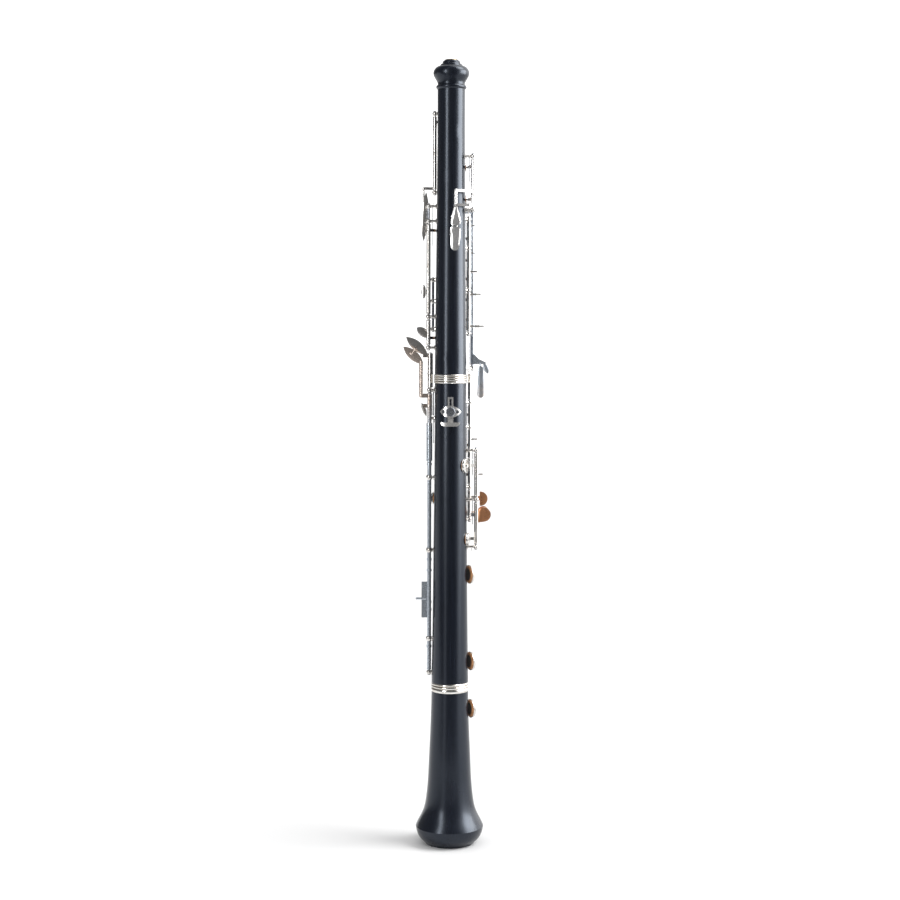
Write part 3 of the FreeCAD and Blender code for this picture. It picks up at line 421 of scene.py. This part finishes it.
def bead(name, node, finish, radius, width, rise, centre, axis):
    """Half-round bead that stands proud of a round surface of that radius."""
    half = width / 2
    profile = [(radius - rise, -half), (radius + 0.7 * rise, -0.75 * half), (radius + rise, 0),
               (radius + 0.7 * rise, 0.75 * half), (radius - rise, half)]
    return turned(name, node, finish, profile, centre, axis, closed=True)


def pad_frame(node):
    """Centre, outward axis, radius and thickness of a pad, read from its CAD mesh."""
    points = points_of(node)
    middle = points.mean(0)
    axis = numpy.linalg.eigh(numpy.cov((points - middle).T))[1][:, 0]
    if axis[0] * middle[0] + axis[1] * middle[1] < 0:
        axis = -axis
    along = (points - middle) @ axis
    beside = points - middle - numpy.outer(along, axis)
    centre = middle + axis * along.min()
    return centre, axis, float(numpy.linalg.norm(beside, axis=1).max()), float(along.max() - along.min())


def pads_and_cups():
    """Puffed pads with a dished face, and turned beads round their cups."""
    for node in PADS:
        centre, axis, radius, thick = pad_frame(node)
        profile = [(share * radius, height * MM) for share, height in PAD_FACE]
        profile += [(0.97 * radius, PAD_BACK * thick), (0, PAD_BACK * thick)]
        skin = turned(node + "_skin", node, "pad_leather", profile, centre, axis, sides=56)
        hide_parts(node)
        lip = centre + axis * CUP_LIP_HEIGHT
        bead(node + "_cup_lip", node, "key_silver", radius + CUP_WALL, *CUP_LIP, lip, axis)


def tube_collars():
    """Beads near both ends of every hinge tube, and along the long ones."""
    for joint in HINGES:
        key = joint["child"]
        centre = numpy.array(joint["pos_m"][:2])
        points = points_of(key)
        near = numpy.linalg.norm(points[:, :2] - centre, axis=1)
        radius = float(near[near > 0.98 * TUBE_R].min())
        heights = points[(near > 0.98 * radius) & (near < 1.02 * radius), 2]
        low, high = float(heights.min()) + COLLAR_INSET, float(heights.max()) - COLLAR_INSET
        count = max(1, round((high - low) / COLLAR_SPACING))
        for step in range(count + 1):
            place = (*centre, low + (high - low) * step / count)
            bead(f"{key}_collar_{step}", key, "key_silver", radius, *COLLAR, place, (0, 0, 1))


def post_beads():
    """A turned bead on the stem of every post."""
    for index, post in enumerate(islands("posts")):
        middle = post[:, :2].mean(0)
        outward = numpy.array([*(middle / numpy.linalg.norm(middle)), 0])
        reach = float(numpy.linalg.norm(post[:, :2], axis=1).max())
        height = float(post[:, 2].min() + post[:, 2].max()) / 2
        neck = outward * (reach - 2 * POST_R - POST_NECK_INSET)
        neck[2] = height
        bead(f"post_bead_{index}", "posts", "key_silver", POST_NECK_R, *POST_BEAD, neck, outward)


def slotted_head(name, centre, up):
    """Screw head with a real slot, made of two half discs joined at their foot."""
    made = bmesh.new()
    steps = 14
    start = math.asin(SLOT_HALF / HEAD_R)
    for side in (-1, 1):
        low_ring, high_ring = [], []
        for step in range(steps + 1):
            angle = start + (math.pi - 2 * start) * step / steps
            x, y = HEAD_R * math.cos(angle), side * HEAD_R * math.sin(angle)
            low_ring.append(made.verts.new((x, y, 0)))
            high_ring.append(made.verts.new((0.9 * x, side * max(SLOT_HALF, abs(0.9 * y)), HEAD_HEIGHT)))
        made.faces.new(low_ring)
        made.faces.new(high_ring)
        for step in range(steps + 1):
            after = (step + 1) % (steps + 1)
            made.faces.new((low_ring[step], low_ring[after], high_ring[after], high_ring[step]))
    foot = bmesh.ops.create_cone(made, cap_ends=True, segments=2 * steps, radius1=HEAD_R, radius2=HEAD_R,
                                 depth=HEAD_FOOT)
    bmesh.ops.translate(made, verts=foot["verts"], vec=(0, 0, HEAD_FOOT / 2))
    add_piece(name, made, MATERIALS["steel"], "root", centre, (0, 0, up), smooth=False)


def rod_heads():
    """Slotted heads on both ends of every hinge rod."""
    for index, rod in enumerate(islands("hinge_rods")):
        low, high = rod.min(0), rod.max(0)
        x, y = (low[:2] + high[:2]) / 2
        slotted_head(f"rod_head_high_{index}", (x, y, high[2] - HEAD_SINK), 1)
        slotted_head(f"rod_head_low_{index}", (x, y, low[2] + HEAD_SINK), -1)


def outline_of(points):
    """Convex outline, in X and Z, of points given as an array, with its long sides subdivided."""
    flat = sorted({(round(x, 7), round(z, 7)) for x, y, z in points})
    hull = []
    for run in (flat, flat[::-1]):
        start = len(hull)
        for place in run:
            while len(hull) >= start + 2:
                (ax, az), (bx, bz) = hull[-2], hull[-1]
                if (bx - ax) * (place[1] - az) - (bz - az) * (place[0] - ax) > 0:
                    break
                hull.pop()
            hull.append(place)
        hull.pop()
    outline = []
    for (ax, az), (bx, bz) in zip(hull, hull[1:] + hull[:1]):
        count = max(1, round(math.hypot(bx - ax, bz - az) / OUTLINE_STEP))
        outline += [(ax + (bx - ax) * step / count, az + (bz - az) * step / count) for step in range(count)]
    return outline


def domed_touch(key, low, high):
    """Rounded, polished back of a thumb touch, over the CAD touch between two heights."""
    points = points_of(key)
    middle = float(points[:, 1].min()) + THUMB_TOUCH / 2
    near = numpy.abs(points[:, 1] - middle) < THUMB_TOUCH
    outline = outline_of(points[near & (points[:, 2] > low) & (points[:, 2] < high)])
    centre_x = sum(x for x, z in outline) / len(outline)
    centre_z = sum(z for x, z in outline) / len(outline)
    made = bmesh.new()
    rings = []
    for reach in DOME_RINGS:
        depth = middle - DOME_RISE * THUMB_TOUCH * (1 - reach ** 2) ** 0.5
        places = [(centre_x + (x - centre_x) * reach, depth, centre_z + (z - centre_z) * reach)
                  for x, z in outline]
        rings.append([made.verts.new(place) for place in places])
    peak = made.verts.new((centre_x, middle - DOME_RISE * THUMB_TOUCH, centre_z))
    count = len(outline)
    for below, above in zip(rings, rings[1:]):
        for step in range(count):
            after = (step + 1) % count
            made.faces.new((below[step], below[after], above[after], above[step]))
    for step in range(count):
        made.faces.new((rings[-1][step], rings[-1][(step + 1) % count], peak))
    add_piece(key + "_dome", made, FINISHES[key], key)


def ring_lines():
    """Dark lines in the grooves of both pairs of rings."""
    for node, shares in RING_GROOVES.items():
        low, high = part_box(node)
        radius = high.x - GROOVE_DEPTH
        for index, share in enumerate(shares):
            place = (0, 0, low.z + (high.z - low.z) * share)
            bead(f"{node}_line_{index}", node, "liner_metal", radius, *RING_LINE, place, (0, 0, 1))


pads_and_cups()
tube_collars()
for touched, (foot, top) in THUMB_TOUCHES.items():
    domed_touch(touched, foot, top)
ring_lines()
post_beads()
rod_heads()


# ---- studio -------------------------------------------------------------------------------------
def studio_material(name, value, roughness):
    """Matt pale surface with a barely visible mottle."""
    made, tree, shader = new_material(name)
    mottle = noise(tree, 3.0, 2.0, 0.5)
    colour = ramp(tree, mottle, [(0.3, grey(value)), (0.7, (value, value, value * 1.002))])
    tree.links.new(colour, shader.inputs["Base Color"])
    shader.inputs["Roughness"].default_value = roughness
    shader.inputs["Specular IOR Level"].default_value = 0.1
    return made


def floor():
    """White floor that ends a little in front of the oboe, so that the wood reflects less of it."""
    mesh = bpy.data.meshes.new("floor")
    corners = [(-FLOOR_SIDE, FLOOR_FRONT, 0), (FLOOR_SIDE, FLOOR_FRONT, 0),
               (FLOOR_SIDE, FLOOR_BACK, 0), (-FLOOR_SIDE, FLOOR_BACK, 0)]
    mesh.from_pydata(corners, [], [(0, 1, 2, 3)])
    made = bpy.data.objects.new("floor", mesh)
    bpy.context.collection.objects.link(made)
    mesh.materials.append(studio_material("floor_white", 0.90, 0.9))


def reflected_panel(name, bearing, distance, height, width, tall, power):
    """Softbox that shows only in reflections, at a bearing to the camera's right."""
    data = bpy.data.lights.new(name, "AREA")
    data.shape = "RECTANGLE"
    data.size = width
    data.size_y = tall
    data.energy = power
    made = bpy.data.objects.new(name, data)
    bpy.context.collection.objects.link(made)
    made.visible_diffuse = False
    angle = math.radians(bearing)
    made.location = (distance * math.sin(angle), -distance * math.cos(angle), height)
    inward = Vector((-math.sin(angle), math.cos(angle), 0))
    made.rotation_euler = inward.to_track_quat("-Z", "Y").to_euler()


def key_light(bearing, elevation, strength, spread_angle):
    """Distant softbox at a bearing to the camera's right and a height above the horizon."""
    data = bpy.data.lights.new("key_light", "SUN")
    data.energy = strength
    data.angle = math.radians(spread_angle)
    made = bpy.data.objects.new("key_light", data)
    bpy.context.collection.objects.link(made)
    angle = math.radians(bearing)
    level = math.cos(math.radians(elevation))
    rise = math.sin(math.radians(elevation))
    towards = Vector((level * math.sin(angle), -level * math.cos(angle), rise))
    made.rotation_euler = towards.to_track_quat("Z", "Y").to_euler()


def world():
    """White to the camera and an even dome to matt surfaces; reflections see a darker room in front."""
    made = bpy.data.worlds.new("studio")
    bpy.context.scene.world = made
    made.use_nodes = True
    tree = made.node_tree
    tree.nodes.clear()
    out = tree.nodes.new("ShaderNodeOutputWorld")
    path = tree.nodes.new("ShaderNodeLightPath")
    place = tree.nodes.new("ShaderNodeTexCoord")
    split = tree.nodes.new("ShaderNodeSeparateXYZ")
    tree.links.new(place.outputs["Generated"], split.inputs["Vector"])
    ahead = tree.nodes.new("ShaderNodeMath")
    ahead.operation = "MULTIPLY"
    ahead.inputs[1].default_value = -1.0
    tree.links.new(split.outputs["Y"], ahead.inputs[0])
    bearing = tree.nodes.new("ShaderNodeMath")
    bearing.operation = "ARCTAN2"
    tree.links.new(split.outputs["X"], bearing.inputs[0])
    tree.links.new(ahead.outputs[0], bearing.inputs[1])
    turn = spread(tree, bearing.outputs[0], 0.0, 1.0, -math.pi, math.pi)
    level = ramp(tree, turn, [((angle + 180) / 360, grey(value / BRIGHTEST)) for angle, value in ROOM])
    shown = None
    layers = ((DOME, None, None), (BRIGHTEST, level, "Is Glossy Ray"), (SKY, None, "Is Camera Ray"))
    for strength, colour, ray in layers:
        background = tree.nodes.new("ShaderNodeBackground")
        background.inputs["Strength"].default_value = strength
        if colour is None:
            background.inputs["Color"].default_value = (1, 1, 1, 1)
        else:
            tree.links.new(colour, background.inputs["Color"])
        if shown is None:
            shown = background.outputs["Background"]
            continue
        mix = tree.nodes.new("ShaderNodeMixShader")
        tree.links.new(path.outputs[ray], mix.inputs["Fac"])
        tree.links.new(shown, mix.inputs[1])
        tree.links.new(background.outputs["Background"], mix.inputs[2])
        shown = mix.outputs["Shader"]
    tree.links.new(shown, out.inputs["Surface"])


def camera():
    """In front of the thumb side, looking slightly down, with a view a little wider than the oboe is tall."""
    data = bpy.data.cameras.new("camera")
    made = bpy.data.objects.new("camera", data)
    bpy.context.collection.objects.link(made)
    made.location = (CAMERA_X, -CAMERA_DISTANCE, EYE_HEIGHT)
    direction = Vector((CAMERA_X, 0, AIM_HEIGHT)) - made.location
    turn = direction.to_track_quat("-Z", "Y").to_matrix().to_4x4()
    roll = Matrix.Rotation(math.radians(CAMERA_ROLL), 4, "Z")
    made.rotation_euler = (turn @ roll).to_euler()
    data.sensor_fit = "HORIZONTAL"
    data.angle = 2 * math.atan(VIEW_WIDTH / 2 / direction.length)
    data.clip_end = 50
    bpy.context.scene.camera = made


bpy.context.scene.view_settings.view_transform = "Standard"
floor()
world()
key_light(bearing=82.0, elevation=50.0, strength=1.9, spread_angle=32.0)
reflected_panel("right_panel", bearing=84.0, distance=1.0, height=0.66, width=0.80, tall=0.80, power=16.0)
reflected_panel("left_panel", bearing=-37.0, distance=1.0, height=0.66, width=0.16, tall=0.80, power=4.2)
camera()
